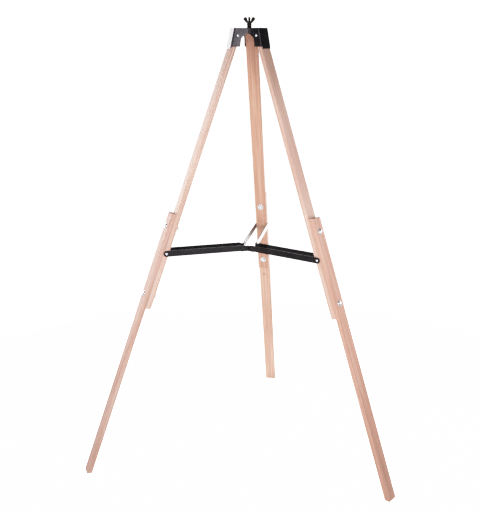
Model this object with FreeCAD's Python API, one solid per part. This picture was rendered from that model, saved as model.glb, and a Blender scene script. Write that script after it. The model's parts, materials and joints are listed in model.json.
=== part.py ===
import FreeCAD, Part

import math
import os

from FreeCAD import Placement, Rotation, Vector

# A folding three-legged stand. Each wooden leg is two flat bars bolted side by side, hinged in a pressed
# steel head. A steel spreader of three arms joins the legs to a hub in the middle. Millimetres, +Z up. The
# origin is on the floor, under the middle of the box that the three feet span. The rear leg points at +Y.

# ---- driving sizes ----
# Timber.
BAR_WIDTH = 40.0
BAR_THICKNESS = 17.0
BAR_EDGE_ROUND = 1.2
UPPER_LENGTH = 940.0
LOWER_LENGTH = 932.0
SPLICE_OVERLAP = 327.0
SPLICE_BOLT_END_DISTANCE = 45.5
PIVOT_TO_BAR_TOP = 15.0
BAR_TOP_ROUND = 5.0
UPPER_END_CHAMFER = 6.0
LOWER_END_CHAMFER = 3.0
SOLE_CHAMFER = 1.5

# Leg layout.
SPLAY_DEG = 20.0
LEG_ANGLES = {"rear": 90.0, "left": 210.0, "right": 330.0}
PIVOT_RADIUS = 45.5

# Head, folded from sheet.
HEAD_SHEET = 2.0
HEAD_SIDE_CLEARANCE = 0.5
HEAD_BEND_RADIUS = 4.0
HEAD_TOP_TO_PIVOT = 23.0
HEAD_TOP_REACH = 58.0
HEAD_WEB_DEPTH = 63.5
HEAD_SIDE_DEPTH = 57.5
WEB_STOP_GAP = 0.3
ARCH_PEAK_DEPTH = 15.0
ARCH_SHOULDER_DEPTH = 30.0
ARCH_SHOULDER_HALF = 19.5
ARCH_FOOT_HALF = 23.0
ARCH_SHOULDER_ROUND = 17.0
ARCH_PEAK_ROUND = 4.0

# Spreader.
ARM_PIN_ALONG_LEG = 730.0
STRIP_HEIGHT = 20.0
STRIP_THICKNESS = 2.5
STRIP_EDGE_ROUND = 0.5
STRIP_TO_LEG_GAP = 0.8
HUB_PIN_RADIUS = 29.0
HUB_PIN_DROP = 4.5
HUB_SHEET = 2.0
HUB_WALL_GAP = 0.3
HUB_FLOOR_BELOW_PIN = 12.0
HUB_WALL_ABOVE_PIN = 7.0
HUB_LOBE_BEYOND_PIN = 6.5
HUB_LOBE_ROUND = 6.0

# Rivets.
RIVET_SHANK = 5.0
RIVET_HEAD = 8.2
RIVET_HEAD_HEIGHT = 2.0

# M8 hardware.
THREAD = 8.0
THREAD_PITCH = 1.25
HEX_FLATS = 13.0
HEX_CROWN = 12.6
HEX_CHAMFER_DEG = 30.0
HEX_NUT_HEIGHT = 6.8
HEX_HEAD_HEIGHT = 5.3
SMALL_WASHER_OUTER = 17.0
CLAMP_WASHER_OUTER = 16.0
LARGE_WASHER_OUTER = 21.0
WASHER_THICKNESS = 1.6
COACH_HEAD = 19.0
COACH_HEAD_HEIGHT = 4.6
COACH_NECK = 5.0
BOLT_BEYOND_NUT = 3.0
STUD_ABOVE_HEAD = 33.5

# Wing nut.
WING_HUB_BASE = 15.5
WING_HUB_TOP = 13.5
WING_HUB_HEIGHT = 10.0
WING_SPAN = 38.0
WING_HEIGHT = 23.5
WING_LOBE = 12.6
WING_ROOT = 5.6
WING_ROOT_HEIGHT = 6.5
WING_THICKNESS = 3.2

# Clearances.
RUNNING_FIT = 0.05
DRILLED_CLEARANCE = 0.2

# ---- worked-out places ----
SPLAY = math.radians(SPLAY_DEG)
LOWER_TOP_ALONG = UPPER_LENGTH - PIVOT_TO_BAR_TOP - SPLICE_OVERLAP
UPPER_END_ALONG = UPPER_LENGTH - PIVOT_TO_BAR_TOP
LOWER_END_ALONG = LOWER_TOP_ALONG + LOWER_LENGTH
SPLICE_BOLTS_ALONG = [
    LOWER_TOP_ALONG + SPLICE_BOLT_END_DISTANCE,
    UPPER_END_ALONG - SPLICE_BOLT_END_DISTANCE,
]
THREAD_LEAD = 0.75 * THREAD_PITCH
BAR_FACE = BAR_THICKNESS / 2
LOWER_FACE = BAR_FACE + BAR_THICKNESS

# The sole's outer edge is the lowest corner of the uncut lower bar, and it is at the floor.
PIVOT_HEIGHT = LOWER_END_ALONG * math.cos(SPLAY) - LOWER_FACE * math.sin(SPLAY)
HEAD_TOP = PIVOT_HEIGHT + HEAD_TOP_TO_PIVOT
HEAD_INNER_HALF = BAR_WIDTH / 2 + HEAD_SIDE_CLEARANCE
HEAD_OUTER_HALF = HEAD_INNER_HALF + HEAD_SHEET

ARM_PIN_RADIUS = PIVOT_RADIUS + ARM_PIN_ALONG_LEG * math.sin(SPLAY)
ARM_PIN_HEIGHT = PIVOT_HEIGHT - ARM_PIN_ALONG_LEG * math.cos(SPLAY)
HUB_PIN_HEIGHT = ARM_PIN_HEIGHT - HUB_PIN_DROP
ARM_LENGTH = math.hypot(ARM_PIN_RADIUS - HUB_PIN_RADIUS, HUB_PIN_DROP)
ARM_RISE_DEG = math.degrees(math.asin(HUB_PIN_DROP / ARM_LENGTH))
STRIP_INNER = BAR_WIDTH / 2 + STRIP_TO_LEG_GAP
STRIP_OUTER = STRIP_INNER + STRIP_THICKNESS
HUB_OUTER_HALF = STRIP_INNER - HUB_WALL_GAP
HUB_INNER_HALF = HUB_OUTER_HALF - HUB_SHEET

# Folded: the legs hang straight down, and the arms stand along them with the hub above their pins.
FOLDED_HUB_HEIGHT = PIVOT_HEIGHT - ARM_PIN_ALONG_LEG + math.sqrt(
    ARM_LENGTH**2 - (PIVOT_RADIUS - HUB_PIN_RADIUS) ** 2)
HUB_TRAVEL = FOLDED_HUB_HEIGHT - HUB_PIN_HEIGHT
ARM_TURN_DEG = ARM_RISE_DEG + math.degrees(math.acos((PIVOT_RADIUS - HUB_PIN_RADIUS) / ARM_LENGTH))

X = Vector(1, 0, 0)
Y = Vector(0, 1, 0)
Z = Vector(0, 0, 1)

# Two directions count as parallel when their dot product is at least this.
PARALLEL = 0.999
# How far a cutting tool reaches past the face that it cuts.
PAST = 1.0


# ---- shape helpers ----
def box(x0, x1, y0, y1, z0, z1):
    return Part.makeBox(x1 - x0, y1 - y0, z1 - z0, Vector(x0, y0, z0))


def rod(radius, start, end):
    return Part.makeCylinder(radius, (end - start).Length, start, end - start)


def prism(points, half_width):
    """A solid with an outline of (x, z) points, reaching half_width to each side along Y."""
    corners = [Vector(x, -half_width, z) for x, z in points]
    return Part.Face(Part.makePolygon(corners + corners[:1])).extrude(Y * 2 * half_width)


def turned(points):
    """A solid of revolution about Z from an outline of (radius, z) points."""
    corners = [Vector(r, 0, z) for r, z in points]
    return Part.Face(Part.makePolygon(corners + corners[:1])).revolve(Vector(), Z, 360)


def dome(radius, height):
    """A spherical cap that stands on z = 0."""
    sphere_radius = (radius**2 + height**2) / (2 * height)
    ball = Part.makeSphere(sphere_radius, Vector(0, 0, height - sphere_radius))
    return ball.common(box(-radius, radius, -radius, radius, 0, height))


def hexagon(height):
    """A hexagonal prism on z = 0 with its corners turned off at the top."""
    corner = HEX_FLATS / math.sqrt(3)
    angles = [math.radians(60 * i) for i in range(7)]
    wire = Part.makePolygon([Vector(corner * math.cos(a), corner * math.sin(a), 0) for a in angles])
    crown = HEX_CROWN / 2
    skirt = crown + (height + PAST) / math.tan(math.radians(HEX_CHAMFER_DEG))
    cone = Part.makeCone(skirt, crown, height + PAST, Vector(0, 0, -PAST))
    return Part.Face(wire).extrude(Z * height).common(cone)


def aimed(shape, position, direction):
    """Moves a solid made on z = 0 so that it stands on position and points along direction."""
    solid = shape.copy()
    solid.Placement = Placement(position, Rotation(Z, direction)).multiply(solid.Placement)
    return solid


def edges_along(shape, direction):
    """The straight edges that run along direction, either way."""
    chosen = []
    for edge in shape.Edges:
        if edge.Curve.TypeId != "Part::GeomLine":
            continue
        if abs(edge.tangentAt(edge.FirstParameter).dot(direction)) > PARALLEL:
            chosen.append(edge)
    return chosen


def upper_cross_edges(shape):
    """The edges along Y that are above z = 0."""
    return [edge for edge in edges_along(shape, Y) if edge.CenterOfMass.z > 0]


def cut_all(shape, tools):
    for tool in tools:
        shape = shape.cut(tool)
    return shape


# ---- fasteners, each made along +Z ----
def washer(outer):
    return Part.makeCylinder(outer / 2, WASHER_THICKNESS).cut(
        Part.makeCylinder(THREAD / 2 + DRILLED_CLEARANCE, WASHER_THICKNESS))


def hex_nut():
    return hexagon(HEX_NUT_HEIGHT).cut(Part.makeCylinder(THREAD / 2 + RUNNING_FIT, HEX_NUT_HEIGHT))


def threaded_end(length):
    """A plain round shank with a small lead at its tip, from z = 0 up to length."""
    radius = THREAD / 2
    return turned([
        (0, 0),
        (radius, 0),
        (radius, length - THREAD_LEAD),
        (radius - THREAD_LEAD, length),
        (0, length),
    ])


def coach_bolt():
    """Domed head below z = 0, square neck and shank above it."""
    grip = 2 * BAR_THICKNESS + WASHER_THICKNESS + HEX_NUT_HEIGHT + BOLT_BEYOND_NUT
    head = aimed(dome(COACH_HEAD / 2, COACH_HEAD_HEIGHT), Vector(), -Z)
    half = THREAD / 2
    neck = box(-half, half, -half, half, 0, COACH_NECK)
    return head.fuse([neck, threaded_end(grip)]).removeSplitter()


def coach_bolt_hole():
    half = THREAD / 2 + DRILLED_CLEARANCE
    neck = box(-half, half, -half, half, 0, COACH_NECK + DRILLED_CLEARANCE)
    return neck.fuse(Part.makeCylinder(half, 2 * BAR_THICKNESS))


def rivet(grip, heads=2):
    """A domed rivet: its grip runs from z = 0 up, with a head beyond it and, with two heads, one below."""
    shank = Part.makeCylinder(RIVET_SHANK / 2, grip)
    cap = dome(RIVET_HEAD / 2, RIVET_HEAD_HEIGHT)
    pieces = [aimed(cap, Vector(0, 0, grip), Z)]
    if heads == 2:
        pieces.append(aimed(cap, Vector(), -Z))
    return shank.fuse(pieces).removeSplitter()


def wing(side):
    """One wing in the XZ plane: a round lobe that two tangents draw in to a narrower root at the hub."""
    lobe = WING_LOBE / 2
    root = WING_ROOT / 2
    lobe_centre = Vector(WING_SPAN / 2 - lobe, 0, WING_HEIGHT - lobe)
    root_centre = Vector(WING_HUB_TOP / 2, 0, WING_ROOT_HEIGHT)
    spine = lobe_centre - root_centre
    lean = math.atan2(spine.z, spine.x)
    spread = math.acos((root - lobe) / spine.Length)
    half = Y * WING_THICKNESS / 2
    discs = []
    tangent_points = []
    for centre, radius, first_turn in ((root_centre, root, spread), (lobe_centre, lobe, -spread)):
        discs.append(rod(radius, centre - half, centre + half))
        for turn in (first_turn, -first_turn):
            x = centre.x + radius * math.cos(lean + turn)
            z = centre.z + radius * math.sin(lean + turn)
            tangent_points.append((x, z))
    solid = prism(tangent_points, WING_THICKNESS / 2).fuse(discs).removeSplitter()
    if side < 0:
        solid = solid.mirror(Vector(), X)
    return solid


def wing_nut():
    """A coned hub on z = 0 with two wings that lean outwards."""
    hub = Part.makeCone(WING_HUB_BASE / 2, WING_HUB_TOP / 2, WING_HUB_HEIGHT)
    bore = Part.makeCylinder(THREAD / 2 + RUNNING_FIT, WING_HEIGHT)
    return hub.fuse([wing(-1), wing(1)]).cut(bore).removeSplitter()


# ---- placing: a leg is made hanging straight down from its pivot, outwards along +X ----
def splayed(shape):
    """Swings a hanging leg piece out by the splay and lifts it to its pivot."""
    solid = shape.copy()
    solid.rotate(Vector(), Y, -SPLAY_DEG)
    solid.translate(Vector(PIVOT_RADIUS, 0, PIVOT_HEIGHT))
    return solid


def around(shape, angle):
    """Turns a piece made along +X about the head's axis."""
    solid = shape.copy()
    solid.rotate(Vector(), Z, angle)
    return solid


# ---- head ----
def head_lobe(half_width, inset):
    """One leg's hood as a solid. Its outer end slopes to meet the leg at the web's lower edge. inset takes
    the sheet's thickness off the top and the outer end."""
    leg_middle = PIVOT_RADIUS + (HEAD_WEB_DEPTH - HEAD_TOP_TO_PIVOT) * math.tan(SPLAY)
    web_foot = leg_middle + BAR_FACE / math.cos(SPLAY) + WEB_STOP_GAP + HEAD_SHEET
    slope = (web_foot - HEAD_TOP_REACH) / HEAD_WEB_DEPTH
    bottom = HEAD_WEB_DEPTH + inset
    solid = prism([
        (0, -inset),
        (HEAD_TOP_REACH - inset + slope * inset, -inset),
        (HEAD_TOP_REACH - inset + slope * bottom, -bottom),
        (0, -bottom),
    ], half_width)
    bends = []
    for edge in solid.Edges:
        is_outer = min(vertex.X for vertex in edge.Vertexes) > HEAD_TOP_REACH / 2
        is_across = abs(edge.tangentAt(edge.FirstParameter).dot(Y)) > PARALLEL
        if is_outer and not is_across:
            bends.append(edge)
    return solid.makeFillet(HEAD_BEND_RADIUS - inset, bends)


def round_corner(before, corner, after, radius):
    """The arc that rounds a corner of an outline, and its two tangent points."""
    back = (before - corner).normalize()
    on = (after - corner).normalize()
    half_angle = back.getAngle(on) / 2
    start = corner + back * (radius / math.tan(half_angle))
    end = corner + on * (radius / math.tan(half_angle))
    towards_centre = (back + on).normalize()
    middle = corner + towards_centre * (radius / math.sin(half_angle) - radius)
    return start, middle, end


def head_arch():
    """The opening between two legs, cut along the line midway between them (+X here)."""
    below = HEAD_WEB_DEPTH + HEAD_SHEET
    outline = [
        Vector(0, -ARCH_FOOT_HALF, -below),
        Vector(0, -ARCH_FOOT_HALF, -HEAD_SIDE_DEPTH),
        Vector(0, -ARCH_SHOULDER_HALF, -ARCH_SHOULDER_DEPTH),
        Vector(0, 0, -ARCH_PEAK_DEPTH),
        Vector(0, ARCH_SHOULDER_HALF, -ARCH_SHOULDER_DEPTH),
        Vector(0, ARCH_FOOT_HALF, -HEAD_SIDE_DEPTH),
        Vector(0, ARCH_FOOT_HALF, -below),
    ]
    rounds = {2: ARCH_SHOULDER_ROUND, 3: ARCH_PEAK_ROUND, 4: ARCH_SHOULDER_ROUND}
    edges = []
    here = outline[0]
    for index, corner in enumerate(outline[1:], 1):
        if index in rounds:
            start, middle, end = round_corner(outline[index - 1], corner, outline[index + 1], rounds[index])
            edges.append(Part.makeLine(here, start))
            edges.append(Part.Arc(start, middle, end).toShape())
            here = end
        else:
            edges.append(Part.makeLine(here, corner))
            here = corner
    edges.append(Part.makeLine(here, outline[0]))
    return Part.Face(Part.Wire(edges)).extrude(X * (HEAD_TOP_REACH + HEAD_WEB_DEPTH))


def head_bracket():
    outer = [around(head_lobe(HEAD_OUTER_HALF, 0), angle) for angle in LEG_ANGLES.values()]
    inner = [around(head_lobe(HEAD_INNER_HALF, HEAD_SHEET), angle) for angle in LEG_ANGLES.values()]
    shell = outer[0].fuse(outer[1:]).cut(inner[0].fuse(inner[1:]))
    shell = cut_all(shell, [around(head_arch(), angle + 180) for angle in LEG_ANGLES.values()])

    # The side walls stop higher than the web does, and the pivot goes through both of them.
    far = HEAD_TOP_REACH + HEAD_WEB_DEPTH
    past_side = HEAD_OUTER_HALF + PAST
    web_half = HEAD_OUTER_HALF - HEAD_BEND_RADIUS
    tools = [
        box(0, far, -past_side, -web_half, -HEAD_WEB_DEPTH - PAST, -HEAD_SIDE_DEPTH),
        box(0, far, web_half, past_side, -HEAD_WEB_DEPTH - PAST, -HEAD_SIDE_DEPTH),
        rod(RIVET_SHANK / 2 + RUNNING_FIT, Vector(PIVOT_RADIUS, -past_side, -HEAD_TOP_TO_PIVOT),
            Vector(PIVOT_RADIUS, past_side, -HEAD_TOP_TO_PIVOT)),
    ]
    for angle in LEG_ANGLES.values():
        shell = cut_all(shell, [around(tool, angle) for tool in tools])

    shell = shell.cut(rod(THREAD / 2 + DRILLED_CLEARANCE, -Z * (HEAD_SHEET + PAST), Z * PAST))
    shell.translate(Z * HEAD_TOP)
    return shell


def head_stud():
    """A hex-headed bolt that hangs its head under the head's top plate."""
    head = aimed(hexagon(HEX_HEAD_HEIGHT), Vector(), -Z)
    bolt = head.fuse(threaded_end(HEAD_SHEET + STUD_ABOVE_HEAD)).removeSplitter()
    bolt.translate(Z * (HEAD_TOP - HEAD_SHEET))
    return bolt


def on_stud(shape, height):
    shape.translate(Z * (HEAD_TOP + height))
    return shape


def head_rivet():
    grip = 2 * HEAD_OUTER_HALF
    return aimed(rivet(grip), Vector(PIVOT_RADIUS, -grip / 2, HEAD_TOP - HEAD_TOP_TO_PIVOT), Y)


# ---- legs ----
def bar(inner_face, top_along, end_along):
    half = BAR_WIDTH / 2
    solid = box(inner_face, inner_face + BAR_THICKNESS, -half, half, -end_along, -top_along)
    return solid.makeFillet(BAR_EDGE_ROUND, edges_along(solid, Z))


def corner_cutter(x, z, into_x, into_z, size):
    """Takes a slanted corner off at (x, z). into_x and into_z are 1 or -1, towards the material."""
    reach = size + PAST
    points = [
        (x - into_x * PAST, z - into_z * PAST),
        (x + into_x * reach, z - into_z * PAST),
        (x - into_x * PAST, z + into_z * reach),
    ]
    return prism(points, BAR_WIDTH)


def splice_holes():
    return [
        aimed(coach_bolt_hole(), Vector(LOWER_FACE, 0, -along), -X)
        for along in SPLICE_BOLTS_ALONG
    ]


def cross_hole(along, radius):
    return rod(radius, Vector(0, -BAR_WIDTH, -along), Vector(0, BAR_WIDTH, -along))


def upper_leg():
    solid = bar(-BAR_FACE, -PIVOT_TO_BAR_TOP, UPPER_END_ALONG)
    solid = solid.makeFillet(BAR_TOP_ROUND, upper_cross_edges(solid))
    holes = splice_holes()
    holes.append(cross_hole(0, RIVET_SHANK / 2 + RUNNING_FIT))
    holes.append(cross_hole(ARM_PIN_ALONG_LEG, RIVET_SHANK / 2 + RUNNING_FIT))
    holes.append(corner_cutter(-BAR_FACE, -UPPER_END_ALONG, 1, 1, UPPER_END_CHAMFER))
    return splayed(cut_all(solid, holes))


def lower_leg():
    solid = bar(BAR_FACE, LOWER_TOP_ALONG, LOWER_END_ALONG)
    holes = splice_holes()
    holes.append(corner_cutter(LOWER_FACE, -LOWER_TOP_ALONG, -1, -1, LOWER_END_CHAMFER))
    below_floor = box(-HEAD_TOP, HEAD_TOP, -HEAD_TOP, HEAD_TOP, -HEAD_TOP, 0)
    solid = splayed(cut_all(solid, holes)).cut(below_floor)
    toe = PIVOT_RADIUS + LOWER_END_ALONG * math.sin(SPLAY) + LOWER_FACE * math.cos(SPLAY)
    heel = toe - BAR_THICKNESS / math.cos(SPLAY)
    tools = [corner_cutter(toe, 0, -1, 1, SOLE_CHAMFER), corner_cutter(heel, 0, 1, 1, SOLE_CHAMFER)]
    for side in (-1, 1):
        tool = corner_cutter(side * BAR_WIDTH / 2, 0, -side, 1, SOLE_CHAMFER)
        tool.rotate(Vector(), Z, 90)
        tools.append(tool.translated(X * toe))
    return cut_all(solid, tools)


def splice_group(piece, distance_inside):
    """The same fastener at both splice bolts, pointing inwards from the given depth behind the outer face."""
    solids = [
        splayed(aimed(piece, Vector(LOWER_FACE - distance_inside, 0, -along), -X))
        for along in SPLICE_BOLTS_ALONG
    ]
    return Part.makeCompound(solids)


def leg_pin():
    """The part of the spreader's pivot pin that is inside the wood."""
    half = Y * BAR_WIDTH / 2
    middle = -Z * ARM_PIN_ALONG_LEG
    return splayed(rod(RIVET_SHANK / 2, middle - half, middle + half))


# ---- spreader ----
def on_arm(shape):
    """Places a piece made along +X from the hub pin on the line to the leg pin."""
    solid = shape.copy()
    solid.rotate(Vector(), Y, -ARM_RISE_DEG)
    solid.translate(Vector(HUB_PIN_RADIUS, 0, HUB_PIN_HEIGHT))
    return solid


def spreader_strip(side):
    radius = STRIP_HEIGHT / 2
    ends = [Vector(0, STRIP_INNER, 0), Vector(ARM_LENGTH, STRIP_INNER, 0)]
    thickness = Y * STRIP_THICKNESS
    solid = box(0, ARM_LENGTH, STRIP_INNER, STRIP_OUTER, -radius, radius)
    solid = solid.fuse([rod(radius, end, end + thickness) for end in ends]).removeSplitter()
    flats = [face for face in solid.Faces if abs(face.normalAt(0, 0).dot(Y)) > PARALLEL]
    solid = solid.makeFillet(STRIP_EDGE_ROUND, [edge for face in flats for edge in face.Edges])
    solid = cut_all(solid, [rod(RIVET_SHANK / 2 + RUNNING_FIT, end, end + thickness) for end in ends])
    if side < 0:
        solid = solid.mirror(Vector(), Y)
    return on_arm(solid)


def strip_rivets():
    """The outer ends of an arm's leg pivot, one through each strip."""
    start = STRIP_INNER - STRIP_TO_LEG_GAP / 2
    grip = STRIP_OUTER - start
    return Part.makeCompound([
        on_arm(aimed(rivet(grip, heads=1), Vector(ARM_LENGTH, side * start, 0), Y * side))
        for side in (-1, 1)
    ])


def hub_lobe():
    """One arm's lobe of the hub as a solid block, with its upper outer corner rounded."""
    reach = HUB_PIN_RADIUS + HUB_LOBE_BEYOND_PIN
    solid = box(0, reach, -HUB_OUTER_HALF, HUB_OUTER_HALF, -HUB_FLOOR_BELOW_PIN, HUB_WALL_ABOVE_PIN)
    outer_corner = [edge for edge in upper_cross_edges(solid) if edge.CenterOfMass.x > HUB_PIN_RADIUS]
    return solid.makeFillet(HUB_LOBE_ROUND, outer_corner)


def hub_plate():
    """A tray of three lobes, open on top and at its three ends, with a pin hole in each wall."""
    past_lobe = HUB_PIN_RADIUS + HUB_LOBE_BEYOND_PIN + PAST
    channel = box(0, past_lobe, -HUB_INNER_HALF, HUB_INNER_HALF, HUB_SHEET - HUB_FLOOR_BELOW_PIN,
                  HUB_WALL_ABOVE_PIN + PAST)
    past_wall = HUB_OUTER_HALF + PAST
    hole = rod(RIVET_SHANK / 2 + RUNNING_FIT, Vector(HUB_PIN_RADIUS, -past_wall, 0),
               Vector(HUB_PIN_RADIUS, past_wall, 0))
    lobes = [around(hub_lobe(), angle) for angle in LEG_ANGLES.values()]
    channels = [around(channel, angle) for angle in LEG_ANGLES.values()]
    solid = lobes[0].fuse(lobes[1:]).cut(channels[0].fuse(channels[1:]))
    solid = cut_all(solid, [around(hole, angle) for angle in LEG_ANGLES.values()])
    solid.translate(Z * HUB_PIN_HEIGHT)
    return solid


def hub_rivets():
    grip = STRIP_OUTER - HUB_INNER_HALF
    solids = []
    for angle in LEG_ANGLES.values():
        for side in (-1, 1):
            start = Vector(HUB_PIN_RADIUS, side * HUB_INNER_HALF, HUB_PIN_HEIGHT)
            solids.append(around(aimed(rivet(grip), start, Y * side), angle))
    return Part.makeCompound(solids)


# ---- the whole stand ----
def stand():
    nut_seat = WASHER_THICKNESS
    clamp_seat = nut_seat + HEX_NUT_HEIGHT
    nodes = {
        "head_bracket": head_bracket(),
        "head_stud": head_stud(),
        "stud_washer": on_stud(washer(SMALL_WASHER_OUTER), 0),
        "stud_nut": on_stud(hex_nut(), nut_seat),
        "clamp_washer": on_stud(washer(CLAMP_WASHER_OUTER), clamp_seat),
        "wing_nut": on_stud(wing_nut(), clamp_seat + WASHER_THICKNESS),
        "hub_plate": hub_plate(),
        "hub_rivets": hub_rivets(),
    }
    leg_pieces = {
        "head_rivet": head_rivet(),
        "upper_leg": upper_leg(),
        "lower_leg": lower_leg(),
        "splice_bolts": splice_group(coach_bolt(), 0),
        "splice_washers": splice_group(washer(LARGE_WASHER_OUTER), 2 * BAR_THICKNESS),
        "splice_nuts": splice_group(hex_nut(), 2 * BAR_THICKNESS + WASHER_THICKNESS),
        "leg_pin": leg_pin(),
        "spreader_strip_a": spreader_strip(1),
        "spreader_strip_b": spreader_strip(-1),
        "strip_rivets": strip_rivets(),
    }
    for leg, angle in LEG_ANGLES.items():
        for name, piece in leg_pieces.items():
            nodes[f"{name}_{leg}"] = around(piece, angle)
    return nodes


def foot_box_middle(nodes):
    return Part.makeCompound([nodes[f"lower_leg_{leg}"] for leg in LEG_ANGLES]).BoundBox.Center


NODES = stand()
MIDDLE = foot_box_middle(NODES)
HEAD_AXIS = Vector(-MIDDLE.x, -MIDDLE.y, 0)

os.makedirs("parts", exist_ok=True)
for name, shape in NODES.items():
    shape.translate(HEAD_AXIS)
    shape.exportStep(f"parts/{name}.step")
print(f"{len(NODES)} nodes, head top at {HEAD_TOP:.1f}, head axis at y {HEAD_AXIS.y:.2f}")
print(f"folding lifts the hub by {HUB_TRAVEL:.2f} and turns the arms by {ARM_TURN_DEG:.3f} degrees")
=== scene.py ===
import json
import math

import bmesh
import bpy
from mathutils import Matrix, Vector


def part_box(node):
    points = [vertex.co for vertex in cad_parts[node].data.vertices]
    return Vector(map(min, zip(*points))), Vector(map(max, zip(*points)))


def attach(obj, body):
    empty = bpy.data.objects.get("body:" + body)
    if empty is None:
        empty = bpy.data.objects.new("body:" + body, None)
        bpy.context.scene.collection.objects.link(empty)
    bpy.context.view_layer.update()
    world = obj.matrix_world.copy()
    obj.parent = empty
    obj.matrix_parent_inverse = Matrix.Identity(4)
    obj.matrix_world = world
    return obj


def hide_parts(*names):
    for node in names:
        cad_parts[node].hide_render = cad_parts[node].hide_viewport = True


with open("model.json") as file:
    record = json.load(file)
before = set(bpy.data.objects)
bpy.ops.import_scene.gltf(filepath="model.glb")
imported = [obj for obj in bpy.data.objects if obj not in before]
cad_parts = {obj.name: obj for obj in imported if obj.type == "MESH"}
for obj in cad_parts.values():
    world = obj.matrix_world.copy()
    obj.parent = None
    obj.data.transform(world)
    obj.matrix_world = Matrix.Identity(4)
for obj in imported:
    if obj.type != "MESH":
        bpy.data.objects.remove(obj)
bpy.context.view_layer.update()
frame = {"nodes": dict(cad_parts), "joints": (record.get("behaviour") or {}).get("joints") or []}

# ---- sizes, in metres ----
MM = 0.001
LEGS = {"rear": 90.0, "left": 210.0, "right": 330.0}
SPLAY = math.radians(20.0)
BAR_WIDTH = 40 * MM
BAR_THICKNESS = 17 * MM
ARM_PIN_ALONG = 730 * MM
SPLICE_BOLTS_ALONG = (643.5 * MM, 879.5 * MM)
SHEET = 2 * MM
THREAD_RADIUS = 4 * MM
THREAD_PITCH = 1.25 * MM
THREAD_DEPTH = 0.68 * MM
BOLT_BEYOND_NUT = 3 * MM
NECK_DEPTH = 5 * MM
NECK_RUN_OUT = 0.8 * MM
COACH_HEAD_RADIUS = 9.5 * MM
COACH_HEAD_HEIGHT = 4.6 * MM
HEX_FLATS = 13 * MM
HEX_CROWN_RADIUS = 6.3 * MM
HEX_CHAMFER = math.radians(30)
SMALL_WASHER_RADIUS = 8.5 * MM
CLAMP_WASHER_RADIUS = 8 * MM
LARGE_WASHER_RADIUS = 10.5 * MM
BORE_SINK = 0.5 * MM
DOME_TIP_RADIUS = 0.05 * MM
THREAD_START = 0.1 * MM
RUNNING_FIT = 0.05 * MM
DRILLED_CLEARANCE = 0.2 * MM

# ---- places read from the frame ----
JOINTS = {joint["name"]: joint for joint in frame["joints"]}
STUD_LOW, STUD_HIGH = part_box("head_stud")
HEAD_AXIS = Vector(((STUD_LOW.x + STUD_HIGH.x) / 2, (STUD_LOW.y + STUD_HIGH.y) / 2, 0))
HEAD_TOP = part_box("stud_washer")[0].z
REAR_PIVOT = Vector(JOINTS["leg_rear_fold"]["pos_m"])
PIVOT_RADIUS = (REAR_PIVOT - HEAD_AXIS).xy.length
NUT_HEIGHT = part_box("stud_nut")[1].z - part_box("stud_nut")[0].z
WASHER_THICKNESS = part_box("stud_washer")[1].z - HEAD_TOP


def leg_matrix(angle):
    """Places a leg that hangs straight down from its pivot, outwards along +X, in its splayed position."""
    return (
        Matrix.Translation(HEAD_AXIS)
        @ Matrix.Rotation(math.radians(angle), 4, "Z")
        @ Matrix.Translation((PIVOT_RADIUS, 0, REAR_PIVOT.z))
        @ Matrix.Rotation(-SPLAY, 4, "Y")
    )


# ---- node helpers ----
class Nodes:
    """A short way to write one material's nodes."""

    def __init__(self, name):
        self.material = bpy.data.materials.new(name)
        self.material.use_nodes = True
        self.tree = self.material.node_tree
        self.shader = self.tree.nodes["Principled BSDF"]

    def add(self, kind, inputs=(), **settings):
        node = self.tree.nodes.new("ShaderNode" + kind)
        for key, value in settings.items():
            setattr(node, key, value)
        for key, value in dict(inputs).items():
            self.put(node.inputs[key], value)
        return node

    def put(self, socket, value):
        if hasattr(value, "links"):
            self.tree.links.new(value, socket)
        else:
            socket.default_value = value

    def math(self, operation, *values):
        return self.add("Math", enumerate(values), operation=operation).outputs[0]

    def length(self, first, second):
        squares = self.math("ADD", self.math("MULTIPLY", first, first), self.math("MULTIPLY", second, second))
        return self.math("SQRT", squares)

    def noise(self, vector, scale, detail=2.0, roughness=0.5):
        inputs = {"Vector": vector, "Scale": scale, "Detail": detail, "Roughness": roughness}
        return self.add("TexNoise", inputs).outputs["Fac"]

    def between(self, value, low, high, to_low=0.0, to_high=1.0, smooth=False):
        inputs = {"Value": value, "From Min": low, "From Max": high, "To Min": to_low, "To Max": to_high}
        kind = "SMOOTHSTEP" if smooth else "LINEAR"
        return self.add("MapRange", inputs, interpolation_type=kind).outputs["Result"]

    def mix(self, factor, first, second):
        node = self.add("Mix", data_type="RGBA")
        self.put(node.inputs["Factor"], factor)
        self.put(node.inputs["A"], first)
        self.put(node.inputs["B"], second)
        return node.outputs["Result"]

    def mapped(self, vector, **inputs):
        named = {key.capitalize(): value for key, value in inputs.items()}
        return self.add("Mapping", {"Vector": vector, **named}).outputs["Vector"]

    def bump(self, layers):
        """Chains (height, strength, distance) layers into one normal."""
        normal = None
        for height, strength, distance in layers:
            node = self.add("Bump", {"Height": height, "Strength": strength, "Distance": distance})
            if normal is not None:
                self.tree.links.new(normal, node.inputs["Normal"])
            normal = node.outputs["Normal"]
        self.tree.links.new(normal, self.shader.inputs["Normal"])

    def finish(self, **values):
        for key, value in values.items():
            self.put(self.shader.inputs[key.replace("_", " ")], value)
        return self.material


def grey(value):
    return (value, value, value, 1)


# ---- materials ----
RINGS_PER_METRE = 270.0
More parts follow.
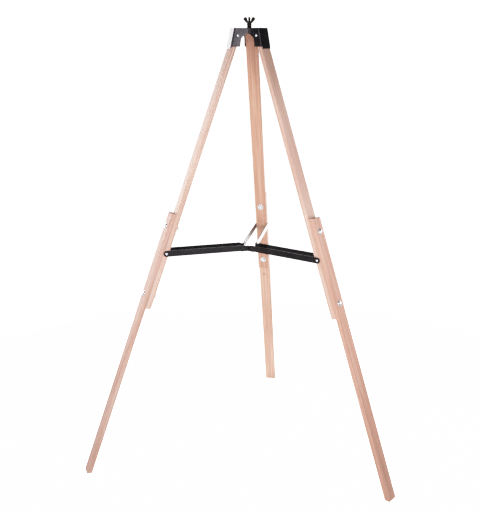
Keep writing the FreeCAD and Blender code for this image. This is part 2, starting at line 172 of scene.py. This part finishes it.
# A knot's width across the bar, as a share of its length along it.
KNOT_WIDTH_SHARE = 0.8
ARRIS_RUBBED = 1.6 * MM
KNOT_BROWN = (0.27, 0.135, 0.078, 1)
FLECK_BROWN = (0.30, 0.150, 0.095, 1)
END_GRAIN = (0.40, 0.235, 0.165, 1)
COAT_BLACK = (0.0042, 0.0038, 0.0045, 1)
COAT_RUBBED = (0.0085, 0.0076, 0.0088, 1)
COAT_DUST = (0.060, 0.054, 0.062, 1)
COAT_GLOSS = (0.97, 0.89, 1.0, 1)
OXIDE_BLACK = (0.0060, 0.0055, 0.0055, 1)
# Brown of the steel's patches: partly wear, partly a painted highlight.
OXIDE_WEAR_AND_HIGHLIGHT = (0.045, 0.027, 0.022, 1)
ZINC_BLUE = (0.66, 0.70, 0.76, 1)
ZINC_BRIGHT = (0.88, 0.89, 0.90, 1)


def timber(name, to_bar, seed, tones, knots=()):
    """Planed, unvarnished hardwood. to_bar turns row coordinates into the bar's: thickness, width, length."""
    n = Nodes(name)
    # The last tone is the painted shade at the top of the leg.
    light, middle, dark, pink, pale, painted_shade_tone = tones
    coords = n.add("TexCoord").outputs
    location, rotation, _ = to_bar.decompose()
    turn = rotation.to_euler("XYZ")
    local = n.mapped(coords["Object"], location=location, rotation=turn)
    across_t, across_w, along = n.add("SeparateXYZ", {0: local}).outputs
    shifted = n.mapped(local, location=(seed * 0.37, seed * 0.21, seed * 1.7))

    # Growth rings: the distance from a pith line that lies outside the bar and wanders along it.
    wander = n.between(n.noise(n.mapped(shifted, scale=(6, 6, 1.1)), 1.0, 2.0, 0.45), 0.0, 1.0, -0.016, 0.016)
    pith_t = 0.030 + 0.012 * math.sin(seed * 2.1)
    pith_w = 0.050 * math.cos(seed * 1.3)
    from_pith_t = n.math("ADD", n.math("SUBTRACT", across_t, pith_t), wander)
    distance = n.length(from_pith_t, n.math("SUBTRACT", across_w, pith_w))
    knot_gaps = []
    for width_at, length_at, radius in knots:
        gap_along = n.math("MULTIPLY", n.math("SUBTRACT", along, length_at), KNOT_WIDTH_SHARE)
        gap = n.length(n.math("SUBTRACT", across_w, width_at), gap_along)
        knot_gaps.append((gap, radius))
        distance = n.math("ADD", distance, n.between(gap, 0.0, radius * 3.2, 0.010, 0.0, smooth=True))
    ring = n.math("FRACT", n.math("MULTIPLY", distance, RINGS_PER_METRE))
    late = n.math("MULTIPLY", n.between(ring, 0.25, 0.90, smooth=True), n.between(ring, 0.90, 1.0, 1.0, 0.0))

    # Fine fibres, long streaks, broad bands and short dark flecks.
    fibre = n.noise(n.mapped(shifted, scale=(1, 1, 0.018)), 1500.0, 3.0, 0.6)
    streak = n.noise(n.mapped(shifted, scale=(1, 1, 0.02)), 190.0, 3.0, 0.55)
    band = n.noise(n.mapped(shifted, scale=(1, 1, 0.07)), 46.0, 2.0, 0.5)
    patch = n.noise(n.mapped(shifted, scale=(1, 1, 0.35)), 9.0, 2.0, 0.5)
    specks = n.noise(n.mapped(shifted, scale=(1, 1, 0.10)), 900.0, 1.0, 0.4)
    fleck = n.between(specks, 0.67, 0.75, smooth=True)

    colour = n.mix(n.between(band, 0.32, 0.68), middle, light)
    colour = n.mix(n.between(patch, 0.42, 0.75, 0.0, 0.75), colour, pink)
    colour = n.mix(n.between(streak, 0.46, 0.70, 0.0, 0.80), colour, dark)
    colour = n.mix(n.between(streak, 0.30, 0.46, 0.80, 0.0), colour, pale)
    colour = n.mix(n.math("MULTIPLY", late, 0.30), colour, dark)
    colour = n.mix(n.between(fibre, 0.35, 0.70, 0.0, 0.16), colour, dark)
    colour = n.mix(n.math("MULTIPLY", fleck, 0.34), colour, FLECK_BROWN)
    for gap, radius in knot_gaps:
        colour = n.mix(n.between(gap, radius * 0.2, radius * 1.3, 0.62, 0.0, smooth=True), colour, KNOT_BROWN)

    # Painted shade darkens the top of each leg below the hood, and the arrises are rubbed.
    top_shade_mask = n.between(along, -0.26, -0.04, 0.0, 0.80, smooth=True)
    colour = n.mix(n.math("MULTIPLY", top_shade_mask, n.between(streak, 0.35, 0.65, 0.5, 1.0)), colour, painted_shade_tone)
    near_side = n.between(n.math("ABSOLUTE", across_w), BAR_WIDTH / 2 - ARRIS_RUBBED, BAR_WIDTH / 2)
    near_face = n.between(n.math("ABSOLUTE", across_t), BAR_THICKNESS / 2 - ARRIS_RUBBED, BAR_THICKNESS / 2)
    arris = n.math("MULTIPLY", near_side, near_face)
    arris = n.math("MULTIPLY", arris, n.between(streak, 0.3, 0.7, 0.15, 0.5))
    colour = n.mix(arris, colour, dark)

    # Sawn ends drink more light.
    normal = n.mapped(coords["Normal"], rotation=turn)
    facing_end = n.math("ABSOLUTE", n.add("SeparateXYZ", {0: normal}).outputs["Z"])
    colour = n.mix(n.between(facing_end, 0.55, 0.90, 0.0, 0.75, smooth=True), colour, END_GRAIN)

    rough = n.math("SUBTRACT", n.between(fibre, 0.3, 0.7, 0.54, 0.68), n.math("MULTIPLY", late, 0.05))
    n.bump([(fibre, 0.10, 0.00004), (late, 0.15, 0.00004), (fleck, -0.3, 0.00008)])
    return n.finish(Base_Color=colour, Roughness=rough, IOR=1.45)


def powder_coat(name):
    """Satin black powder coat: orange peel, sparse dust and slightly rubbed patches."""
    n = Nodes(name)
    coords = n.add("TexCoord").outputs["Object"]
    ripple = n.noise(coords, 210.0, 2.0, 0.5)
    peel = n.noise(coords, 620.0, 2.0, 0.5)
    fine = n.noise(coords, 2600.0, 1.0, 0.5)
    patch = n.noise(coords, 38.0, 4.0, 0.6)
    dust = n.between(n.noise(coords, 1500.0, 2.0, 0.7), 0.66, 0.78, 0.0, 0.6, smooth=True)
    colour = n.mix(n.between(patch, 0.35, 0.70), COAT_BLACK, COAT_RUBBED)
    colour = n.mix(dust, colour, COAT_DUST)
    rough = n.between(patch, 0.30, 0.72, 0.19, 0.30)
    n.bump([(ripple, 0.30, 0.00030), (peel, 0.35, 0.00012), (fine, 0.25, 0.00006)])
    return n.finish(
        Base_Color=colour,
        Roughness=rough,
        IOR=1.5,
        Specular_IOR_Level=0.4,
        Specular_Tint=COAT_GLOSS,
    )


def black_steel(name):
    """Black-oxide steel, dull, with brown patches that are partly wear and partly a painted highlight."""
    n = Nodes(name)
    coords = n.add("TexCoord").outputs["Object"]
    cast = n.noise(coords, 900.0, 4.0, 0.65)
    patch = n.noise(coords, 150.0, 3.0, 0.6)
    # The brown patches are partly wear and partly a painted highlight.
    colour = n.mix(n.between(patch, 0.42, 0.76), OXIDE_BLACK, OXIDE_WEAR_AND_HIGHLIGHT)
    rough = n.between(cast, 0.3, 0.7, 0.42, 0.60)
    n.bump([(cast, 0.30, 0.00008)])
    return n.finish(Base_Color=colour, Roughness=rough, IOR=1.45, Specular_IOR_Level=0.06)


def zinc(name, smoothest, roughest):
    """Zinc plate: cool, slightly mottled, with faint turning marks."""
    n = Nodes(name)
    coords = n.add("TexCoord").outputs["Object"]
    mottle = n.noise(coords, 420.0, 3.0, 0.55)
    scratch = n.noise(n.mapped(coords, scale=(1, 1, 0.12)), 2600.0, 2.0, 0.6)
    colour = n.mix(n.between(mottle, 0.35, 0.68), ZINC_BLUE, ZINC_BRIGHT)
    rough = n.between(mottle, 0.3, 0.7, smoothest, roughest)
    n.bump([(scratch, 0.10, 0.00003)])
    return n.finish(Base_Color=colour, Roughness=rough, Metallic=1.0)


# ---- mesh helpers ----
def mesh_piece(name, verts, faces, material, smooth_angle):
    mesh = bpy.data.meshes.new(name)
    mesh.from_pydata(verts, [], faces)
    bm = bmesh.new()
    bm.from_mesh(mesh)
    bmesh.ops.remove_doubles(bm, verts=bm.verts, dist=1e-7)
    bmesh.ops.recalc_face_normals(bm, faces=bm.faces)
    bm.to_mesh(mesh)
    bm.free()
    mesh.shade_smooth()
    mesh.set_sharp_from_angle(angle=math.radians(smooth_angle))
    mesh.materials.append(material)
    piece = bpy.data.objects.new(name, mesh)
    bpy.context.scene.collection.objects.link(piece)
    return piece


def tube_faces(rows, columns):
    """Quads of a tube whose vertices come row by row."""
    faces = []
    for row in range(rows - 1):
        for column in range(columns):
            here = row * columns + column
            beside = row * columns + (column + 1) % columns
            faces.append([here, beside, beside + columns, here + columns])
    return faces


def ring_solid(rings, steps=48, closed=True):
    """A tube through rings of (radius, z), where a radius may be a function of the angle.

    Closed joins the last ring to the first, and otherwise both ends are capped.
    """
    verts = []
    for radius, z in rings:
        for step in range(steps):
            angle = 2 * math.pi * step / steps
            reach = radius(angle) if callable(radius) else radius
            verts.append((reach * math.cos(angle), reach * math.sin(angle), z))
    faces = tube_faces(len(rings), steps)
    last = (len(rings) - 1) * steps
    if closed:
        for step in range(steps):
            beside = (step + 1) % steps
            faces.append([last + step, last + beside, beside, step])
    else:
        faces.append(list(reversed(range(steps))))
        faces.append([last + step for step in range(steps)])
    return verts, faces


def thread_rings(start, end):
    """Rings of a single-start right-hand thread that runs out at its tip."""
    rings_per_pitch = 8
    run_out = 1.2 * THREAD_PITCH
    flank_slope, root_width = 1.35, 0.12
    count = int((end - start) / THREAD_PITCH * rings_per_pitch)
    rings = []
    for i in range(count + 1):
        z = start + (end - start) * i / count
        tip_loss = THREAD_DEPTH * 0.8 * (1 - min(1.0, (end - z) / run_out))

        def radius(angle, z=z, tip_loss=tip_loss):
            turn = (z / THREAD_PITCH - angle / (2 * math.pi)) % 1.0
            flank = (1 - abs(turn * 2 - 1)) * flank_slope - root_width
            groove = THREAD_DEPTH * (1 - min(1.0, max(0.0, flank)))
            return THREAD_RADIUS - groove - tip_loss

        rings.append((radius, z))
    return rings


def hex_rings(low, high):
    """Rings of a hexagon whose corners are turned off by a cone at both ends."""
    corner = HEX_FLATS / math.sqrt(3)
    chamfer = (corner - HEX_CROWN_RADIUS) * math.tan(HEX_CHAMFER)
    steps = 7
    depths = [chamfer * i / steps for i in range(steps + 1)]
    heights = [low + depth for depth in depths] + [high - depth for depth in reversed(depths)]
    rings = []
    for z in heights:
        cone = HEX_CROWN_RADIUS + min(high - z, z - low) / math.tan(HEX_CHAMFER)

        def radius(angle, cone=cone):
            from_flat = angle % (math.pi / 3) - math.pi / 6
            return min(HEX_FLATS / 2 / math.cos(from_flat), cone)

        rings.append((radius, z))
    return rings


def nut_mesh():
    bore = THREAD_RADIUS + RUNNING_FIT
    mouth = bore + BORE_SINK
    rings = hex_rings(0, NUT_HEIGHT)
    rings += [(mouth, NUT_HEIGHT), (bore, NUT_HEIGHT - BORE_SINK), (bore, BORE_SINK), (mouth, 0)]
    return ring_solid(rings, steps=72)


def washer_mesh(outer):
    """A stamped washer: rounded over on one side, with a small burr on the other."""
    inner = THREAD_RADIUS + DRILLED_CLEARANCE
    top = WASHER_THICKNESS
    soft = 0.25 * MM
    rings = [
        (outer - soft * 2, 0),
        (outer - soft * 0.5, soft * 0.3),
        (outer, soft * 1.2),
        (outer, top - soft * 1.6),
        (outer - soft, top - soft * 0.4),
        (outer - soft * 2.4, top),
        (inner + soft, top),
        (inner, top - soft),
        (inner, soft * 0.5),
        (inner + soft * 0.5, 0),
    ]
    return ring_solid(rings, steps=56)


def coach_bolt_mesh(grip, end):
    """A domed head below z = 0, a square neck above it, and a shank with a rolled thread from grip to end."""
    sphere = (COACH_HEAD_RADIUS**2 + COACH_HEAD_HEIGHT**2) / (2 * COACH_HEAD_HEIGHT)
    edge_angle = math.asin(COACH_HEAD_RADIUS / sphere)
    steps = 10
    rings = [(DOME_TIP_RADIUS, -COACH_HEAD_HEIGHT)]
    for i in range(1, steps):
        angle = edge_angle * i / steps
        rings.append((sphere * math.sin(angle), sphere - COACH_HEAD_HEIGHT - sphere * math.cos(angle)))
    for share, depth in ((0.985, 0.45), (1.0, 0.25), (0.99, 0.0)):
        rings.append((COACH_HEAD_RADIUS * share, -depth * MM))

    def square(angle):
        return THREAD_RADIUS / max(abs(math.cos(angle)), abs(math.sin(angle)))

    rings += [(square, 0), (square, NECK_DEPTH - NECK_RUN_OUT)]
    rings += [(THREAD_RADIUS, NECK_DEPTH), (THREAD_RADIUS, grip)]
    rings += thread_rings(grip + THREAD_START, end)
    return ring_solid(rings, closed=False)


def joined(parts):
    """Several (mesh data, matrix) parts as one mesh data in row coordinates."""
    verts, faces = [], []
    for (part_verts, part_faces), matrix in parts:
        start = len(verts)
        verts += [matrix @ Vector(vert) for vert in part_verts]
        faces += [[start + index for index in face] for face in part_faces]
    return verts, faces


def detailed(name, parts, material, body, node, smooth_angle=40.0):
    """A detailed piece that takes a CAD node's place."""
    piece = mesh_piece(name, *joined(parts), material, smooth_angle)
    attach(piece, body)
    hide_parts(node)
    return piece


def paint(names, material):
    for name in names:
        for slot in frame["nodes"][name].material_slots:
            slot.material = material


# ---- the timber: its tones, and how each bar differs from them ----
LIGHT = (0.680, 0.430, 0.335)
MIDDLE = (0.620, 0.370, 0.275)
DARK = (0.450, 0.240, 0.170)
PINK = (0.665, 0.385, 0.315)
# The tone of the painted shade at the top of each leg.
PALE = (0.800, 0.580, 0.490)
PAINTED_SHADE_TONE = (0.360, 0.190, 0.135)
TINTS = {
    "upper_left": (1.03, 1.09, 1.17),
    "upper_right": (1.03, 1.09, 1.17),
    "upper_rear": (0.97, 0.89, 0.83),
    "lower_left": (0.88, 0.87, 0.93),
    "lower_right": (0.91, 0.82, 0.83),
    "lower_rear": (1.12, 1.11, 1.10),
}
# Each knot's place across the bar, its place along it, and its radius.
KNOTS = {
    "upper_rear": [(-6 * MM, -ARM_PIN_ALONG, 9 * MM)],
    "lower_rear": [(3 * MM, -0.962, 6 * MM)],
    "lower_right": [(-13 * MM, -0.615, 3 * MM)],
}


def dress_timber():
    seed = 1.0
    for leg, angle in LEGS.items():
        for part, offset in (("upper", 0.0), ("lower", BAR_THICKNESS)):
            to_bar = (leg_matrix(angle) @ Matrix.Translation((offset, 0, 0))).inverted()
            tint = TINTS[f"{part}_{leg}"]
            tones = [
                (*(level * share for level, share in zip(tone, tint)), 1)
                for tone in (LIGHT, MIDDLE, DARK, PINK, PALE, PAINTED_SHADE_TONE)
            ]
            knots = KNOTS.get(f"{part}_{leg}", [])
            paint([f"{part}_leg_{leg}"], timber(f"timber_{part}_{leg}", to_bar, seed, tones, knots))
            seed += 1.0


# ---- the stud and its nuts ----
WING_SPAN = 38 * MM
WING_HEIGHT = 23.5 * MM
WING_LOBE_RADIUS = 6.3 * MM
WING_ROOT = Vector((6.2 * MM, 0, 6.2 * MM))
WING_ROOT_RADIUS = 3.2 * MM
WING_HALF_THICKNESS = 1.6 * MM
WING_HUB_HEIGHT = 10 * MM
# The hub's outside, base to top, in millimetres: radius and height.
WING_HUB_PROFILE = ((7.60, 0.0), (7.72, 0.4), (7.60, 2.0), (7.20, 6.0), (6.85, 9.0), (6.40, 9.9))
MELT_VOXEL = 0.3 * MM


def wing_mesh(side):
    """One wing: ellipses along its spine, from the root out to a round lobe that is thinner in its middle."""
    lobe = Vector((WING_SPAN / 2 - WING_LOBE_RADIUS, 0, WING_HEIGHT - WING_LOBE_RADIUS))
    spine = lobe - WING_ROOT
    along = spine.normalized()
    up = Vector((-along.z, 0, along.x))
    stations, steps = 24, 28
    verts = []
    for station in range(stations + 1):
        reach = (spine.length + WING_LOBE_RADIUS) * station / stations
        taper = min(1.0, reach / spine.length)
        past = max(0.0, (reach - spine.length) / WING_LOBE_RADIUS)
        round_end = math.sqrt(max(0.0, 1 - past**2)) + 0.01
        width = (WING_ROOT_RADIUS + (WING_LOBE_RADIUS - WING_ROOT_RADIUS) * taper) * round_end
        thick = WING_HALF_THICKNESS * (1.1 - 0.1 * taper) * math.sqrt(round_end)
        for step in range(steps):
            angle = 2 * math.pi * step / steps
            rim = 0.72 + 0.28 * abs(math.cos(angle)) ** 1.5
            point = WING_ROOT + along * reach + up * (width * math.cos(angle))
            sideways = thick * rim * math.copysign(abs(math.sin(angle)) ** 0.6, math.sin(angle))
            verts.append((point.x * side, sideways, point.z))
    faces = tube_faces(stations + 1, steps)
    faces.append(list(reversed(range(steps))))
    faces.append([stations * steps + step for step in range(steps)])
    return verts, faces


def build_wing_nut(material):
    """A cast hub and two wings, melted together by a fine remesh."""
    bore = THREAD_RADIUS + RUNNING_FIT
    mouth = bore + BORE_SINK
    mouth_depth = 0.6 * MM
    rings = [(radius * MM, height * MM) for radius, height in WING_HUB_PROFILE]
    rings += [(mouth, WING_HUB_HEIGHT), (bore, WING_HUB_HEIGHT - mouth_depth)]
    rings += [(bore, mouth_depth), (mouth, 0)]
    hub = ring_solid(rings, steps=64)
    place = upright(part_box("wing_nut")[0].z)
    parts = [(hub, place), (wing_mesh(-1), place), (wing_mesh(1), place)]
    piece = detailed("wing_nut_cast", parts, material, "wing_nut", "wing_nut")
    remesh = piece.modifiers.new("melt", "REMESH")
    remesh.mode = "VOXEL"
    remesh.voxel_size = MELT_VOXEL
    soften = piece.modifiers.new("soften", "SMOOTH")
    soften.factor = 0.5
    soften.iterations = 4
    bpy.context.view_layer.update()
    evaluated = piece.evaluated_get(bpy.context.evaluated_depsgraph_get())
    melted = bpy.data.meshes.new_from_object(evaluated)
    piece.modifiers.clear()
    piece.data = melted
    melted.shade_smooth()


def upright(z):
    return Matrix.Translation(HEAD_AXIS + Vector((0, 0, z)))


def build_stud(material):
    under_plate = HEAD_TOP - SHEET
    clamp_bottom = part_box("clamp_washer")[0].z
    clamp_washer = washer_mesh(CLAMP_WASHER_RADIUS)
    rings = [(DOME_TIP_RADIUS, STUD_LOW.z), (HEX_CROWN_RADIUS * 0.9, STUD_LOW.z)]
    rings += hex_rings(STUD_LOW.z, under_plate)
    rings += [(THREAD_RADIUS, under_plate), (THREAD_RADIUS, HEAD_TOP)]
    rings += thread_rings(HEAD_TOP + THREAD_START, STUD_HIGH.z)
    pieces = [
        ("stud_threaded", ring_solid(rings, closed=False), 0.0, "head", "head_stud"),
        ("washer_under_nut", washer_mesh(SMALL_WASHER_RADIUS), HEAD_TOP, "head", "stud_washer"),
        ("nut_on_stud", nut_mesh(), HEAD_TOP + WASHER_THICKNESS, "head", "stud_nut"),
        ("washer_under_wings", clamp_washer, clamp_bottom, "clamp_washer", "clamp_washer"),
    ]
    for name, mesh, z, body, node in pieces:
        detailed(name, [(mesh, upright(z))], material, body, node, smooth_angle=30)
    build_wing_nut(material)


# ---- the zinc-plated fasteners ----
NUT_TURNS = (math.radians(17), math.radians(41))


def build_splices(material):
    wood = 2 * BAR_THICKNESS
    seat = wood + WASHER_THICKNESS
    bolt_mesh = coach_bolt_mesh(seat, seat + NUT_HEIGHT + BOLT_BEYOND_NUT)
    inwards = Matrix.Rotation(math.radians(-90), 4, "Y")
    for leg, angle in LEGS.items():
        bolts, washers, nuts = [], [], []
        for along, turn in zip(SPLICE_BOLTS_ALONG, NUT_TURNS):
            place = leg_matrix(angle) @ Matrix.Translation((1.5 * BAR_THICKNESS, 0, -along)) @ inwards
            bolts.append((bolt_mesh, place))
            washers.append((washer_mesh(LARGE_WASHER_RADIUS), place @ Matrix.Translation((0, 0, wood))))
            nut_place = place @ Matrix.Translation((0, 0, seat)) @ Matrix.Rotation(turn, 4, "Z")
            nuts.append((nut_mesh(), nut_place))
        body = f"leg_{leg}"
        detailed(f"coach_bolts_{leg}", bolts, material, body, f"splice_bolts_{leg}")
        detailed(f"plain_washers_{leg}", washers, material, body, f"splice_washers_{leg}")
        detailed(f"hex_nuts_{leg}", nuts, material, body, f"splice_nuts_{leg}", smooth_angle=20)


# ---- studio ----
CAMERA_ANGLE = -80.67
CAMERA_DISTANCE = 2.613
CAMERA_HEIGHT = 1.409
CAMERA_HEADING = 100.01
CAMERA_PITCH = -15.125
CAMERA_ROLL = -0.12
CAMERA_LENS = 55.67
CAMERA_SENSOR = 36.0
CAMERA_REACH = 60.0

# Softboxes around the stand: angle, distance, middle height, width, height of the box, radiance.
LAMPS = (
    (20, 1.6, 1.10, 0.70, 0.70, 4.6),
    (50, 1.6, 0.78, 0.70, 1.35, 3.1),
    (80, 1.6, 0.50, 0.70, 0.80, 4.4),
    (99, 1.6, 1.15, 0.90, 0.35, 2.2),
    (140, 1.6, 0.93, 0.70, 1.65, 7.2),
    (170, 1.6, 1.10, 0.70, 0.70, 2.3),
    (185, 1.0, 0.75, 0.40, 0.50, 2.2),
    (230, 1.6, 1.25, 0.70, 1.00, 6.7),
    (260, 1.6, 0.95, 0.70, 0.60, 6.2),
    (290, 1.6, 1.00, 0.70, 0.80, 6.0),
    (310, 1.0, 0.75, 0.40, 0.50, 1.7),
    (321, 1.6, 1.42, 0.35, 0.35, 8.6),
    (355, 1.0, 0.75, 0.40, 0.50, 3.9),
)
# A wide, weak one straight above.
OVERHEAD_HEIGHT = 3.0
OVERHEAD_SIZE = 3.0
OVERHEAD_RADIANCE = 0.55
FLOOR_GLOW = 0.16
WORLD_GLOW = 0.02
WHITE = 2.0
PAPER_WHITE = 2.1
FLOOR_RADIUS = 14.0
FLOOR_DROP = 0.2 * MM
# The film curve is straight up to its knee.
KNEE = 0.4
CURVE_STEP = 0.2


def polar(angle, distance, height):
    turn = math.radians(angle)
    return HEAD_AXIS + Vector((distance * math.cos(turn), distance * math.sin(turn), height))


def add_camera():
    data = bpy.data.cameras.new("camera")
    data.lens = CAMERA_LENS
    data.sensor_width = CAMERA_SENSOR
    data.clip_end = CAMERA_REACH
    camera = bpy.data.objects.new("camera", data)
    bpy.context.scene.collection.objects.link(camera)
    camera.location = polar(CAMERA_ANGLE, CAMERA_DISTANCE, CAMERA_HEIGHT)
    heading = math.radians(CAMERA_HEADING)
    pitch = math.radians(CAMERA_PITCH)
    level_reach = math.cos(pitch)
    forward = Vector((math.cos(heading) * level_reach, math.sin(heading) * level_reach, math.sin(pitch)))
    level = forward.to_track_quat("-Z", "Y").to_matrix()
    roll = Matrix.Rotation(math.radians(CAMERA_ROLL), 3, "Z")
    camera.rotation_euler = (level @ roll).to_euler()
    bpy.context.scene.camera = camera


def add_softbox(name, place, target, width, tall, radiance):
    """A lamp of a given brightness that faces its target and doesn't show itself."""
    data = bpy.data.lights.new(name, "AREA")
    data.shape = "RECTANGLE"
    data.size = width
    data.size_y = tall
    data.energy = radiance * width * tall * math.pi
    lamp = bpy.data.objects.new(name, data)
    bpy.context.scene.collection.objects.link(lamp)
    lamp.location = place
    lamp.rotation_euler = (target - place).to_track_quat("-Z", "Y").to_euler()
    lamp.visible_camera = False


def light_the_stand():
    for angle, distance, height, width, tall, radiance in LAMPS:
        place = polar(angle, distance, height)
        add_softbox(f"softbox_{angle}", place, polar(0, 0, height), width, tall, radiance)
    above = polar(0, 0, OVERHEAD_HEIGHT)
    add_softbox("softbox_above", above, polar(0, 0, 0), OVERHEAD_SIZE, OVERHEAD_SIZE, OVERHEAD_RADIANCE)


def add_backdrop():
    """A white floor and surround. They look white, and light the stand only a little."""
    world = bpy.data.worlds.new("studio")
    world.use_nodes = True
    bpy.context.scene.world = world
    tree = world.node_tree
    seen = tree.nodes.new("ShaderNodeLightPath")
    level = tree.nodes.new("ShaderNodeMapRange")
    level.inputs["To Min"].default_value = WORLD_GLOW
    level.inputs["To Max"].default_value = PAPER_WHITE
    background = tree.nodes["Background"]
    background.inputs["Color"].default_value = grey(1.0)
    tree.links.new(seen.outputs["Is Camera Ray"], level.inputs["Value"])
    tree.links.new(level.outputs["Result"], background.inputs["Strength"])

    n = Nodes("studio_floor")
    strength = n.between(n.add("LightPath").outputs["Is Camera Ray"], 0.0, 1.0, FLOOR_GLOW, PAPER_WHITE)
    paper = n.finish(
        Base_Color=grey(0.92),
        Roughness=0.9,
        Emission_Color=grey(1.0),
        Emission_Strength=strength,
    )
    place = (0, 0, -FLOOR_DROP)
    bpy.ops.mesh.primitive_circle_add(vertices=96, radius=FLOOR_RADIUS, fill_type="NGON", location=place)
    floor = bpy.context.object
    floor.name = "studio_floor"
    floor.data.materials.append(paper)


def shoulder(value):
    """The film curve: straight up to its knee, then a soft shoulder that reaches white at WHITE."""
    if value < KNEE:
        return value
    power = (WHITE - KNEE) / (1 - KNEE)
    return 1 - (1 - KNEE) * ((WHITE - value) / (WHITE - KNEE)) ** power


def set_film():
    view = bpy.context.scene.view_settings
    view.view_transform = "Standard"
    view.look = "None"
    view.use_curve_mapping = True
    mapping = view.curve_mapping
    mapping.white_level = (WHITE, WHITE, WHITE)
    curve = mapping.curves[3]
    for step in range(1, round(WHITE / CURVE_STEP)):
        value = step * CURVE_STEP
        curve.points.new(value / WHITE, shoulder(value))
    mapping.update()


dress_timber()
coat = powder_coat("powder_coat")
black = black_steel("black_oxide_steel")
bright_plate = zinc("zinc_plated_steel", 0.09, 0.20)
rivet_plate = zinc("zinc_plated_rivets", 0.26, 0.38)
paint(["head_bracket", "hub_plate", "hub_rivets"], coat)
for leg in LEGS:
    paint([f"spreader_strip_a_{leg}", f"spreader_strip_b_{leg}"], coat)
    paint([f"head_rivet_{leg}", f"strip_rivets_{leg}", f"leg_pin_{leg}"], rivet_plate)
build_stud(black)
build_splices(bright_plate)
add_camera()
light_the_stand()
add_backdrop()
set_film()
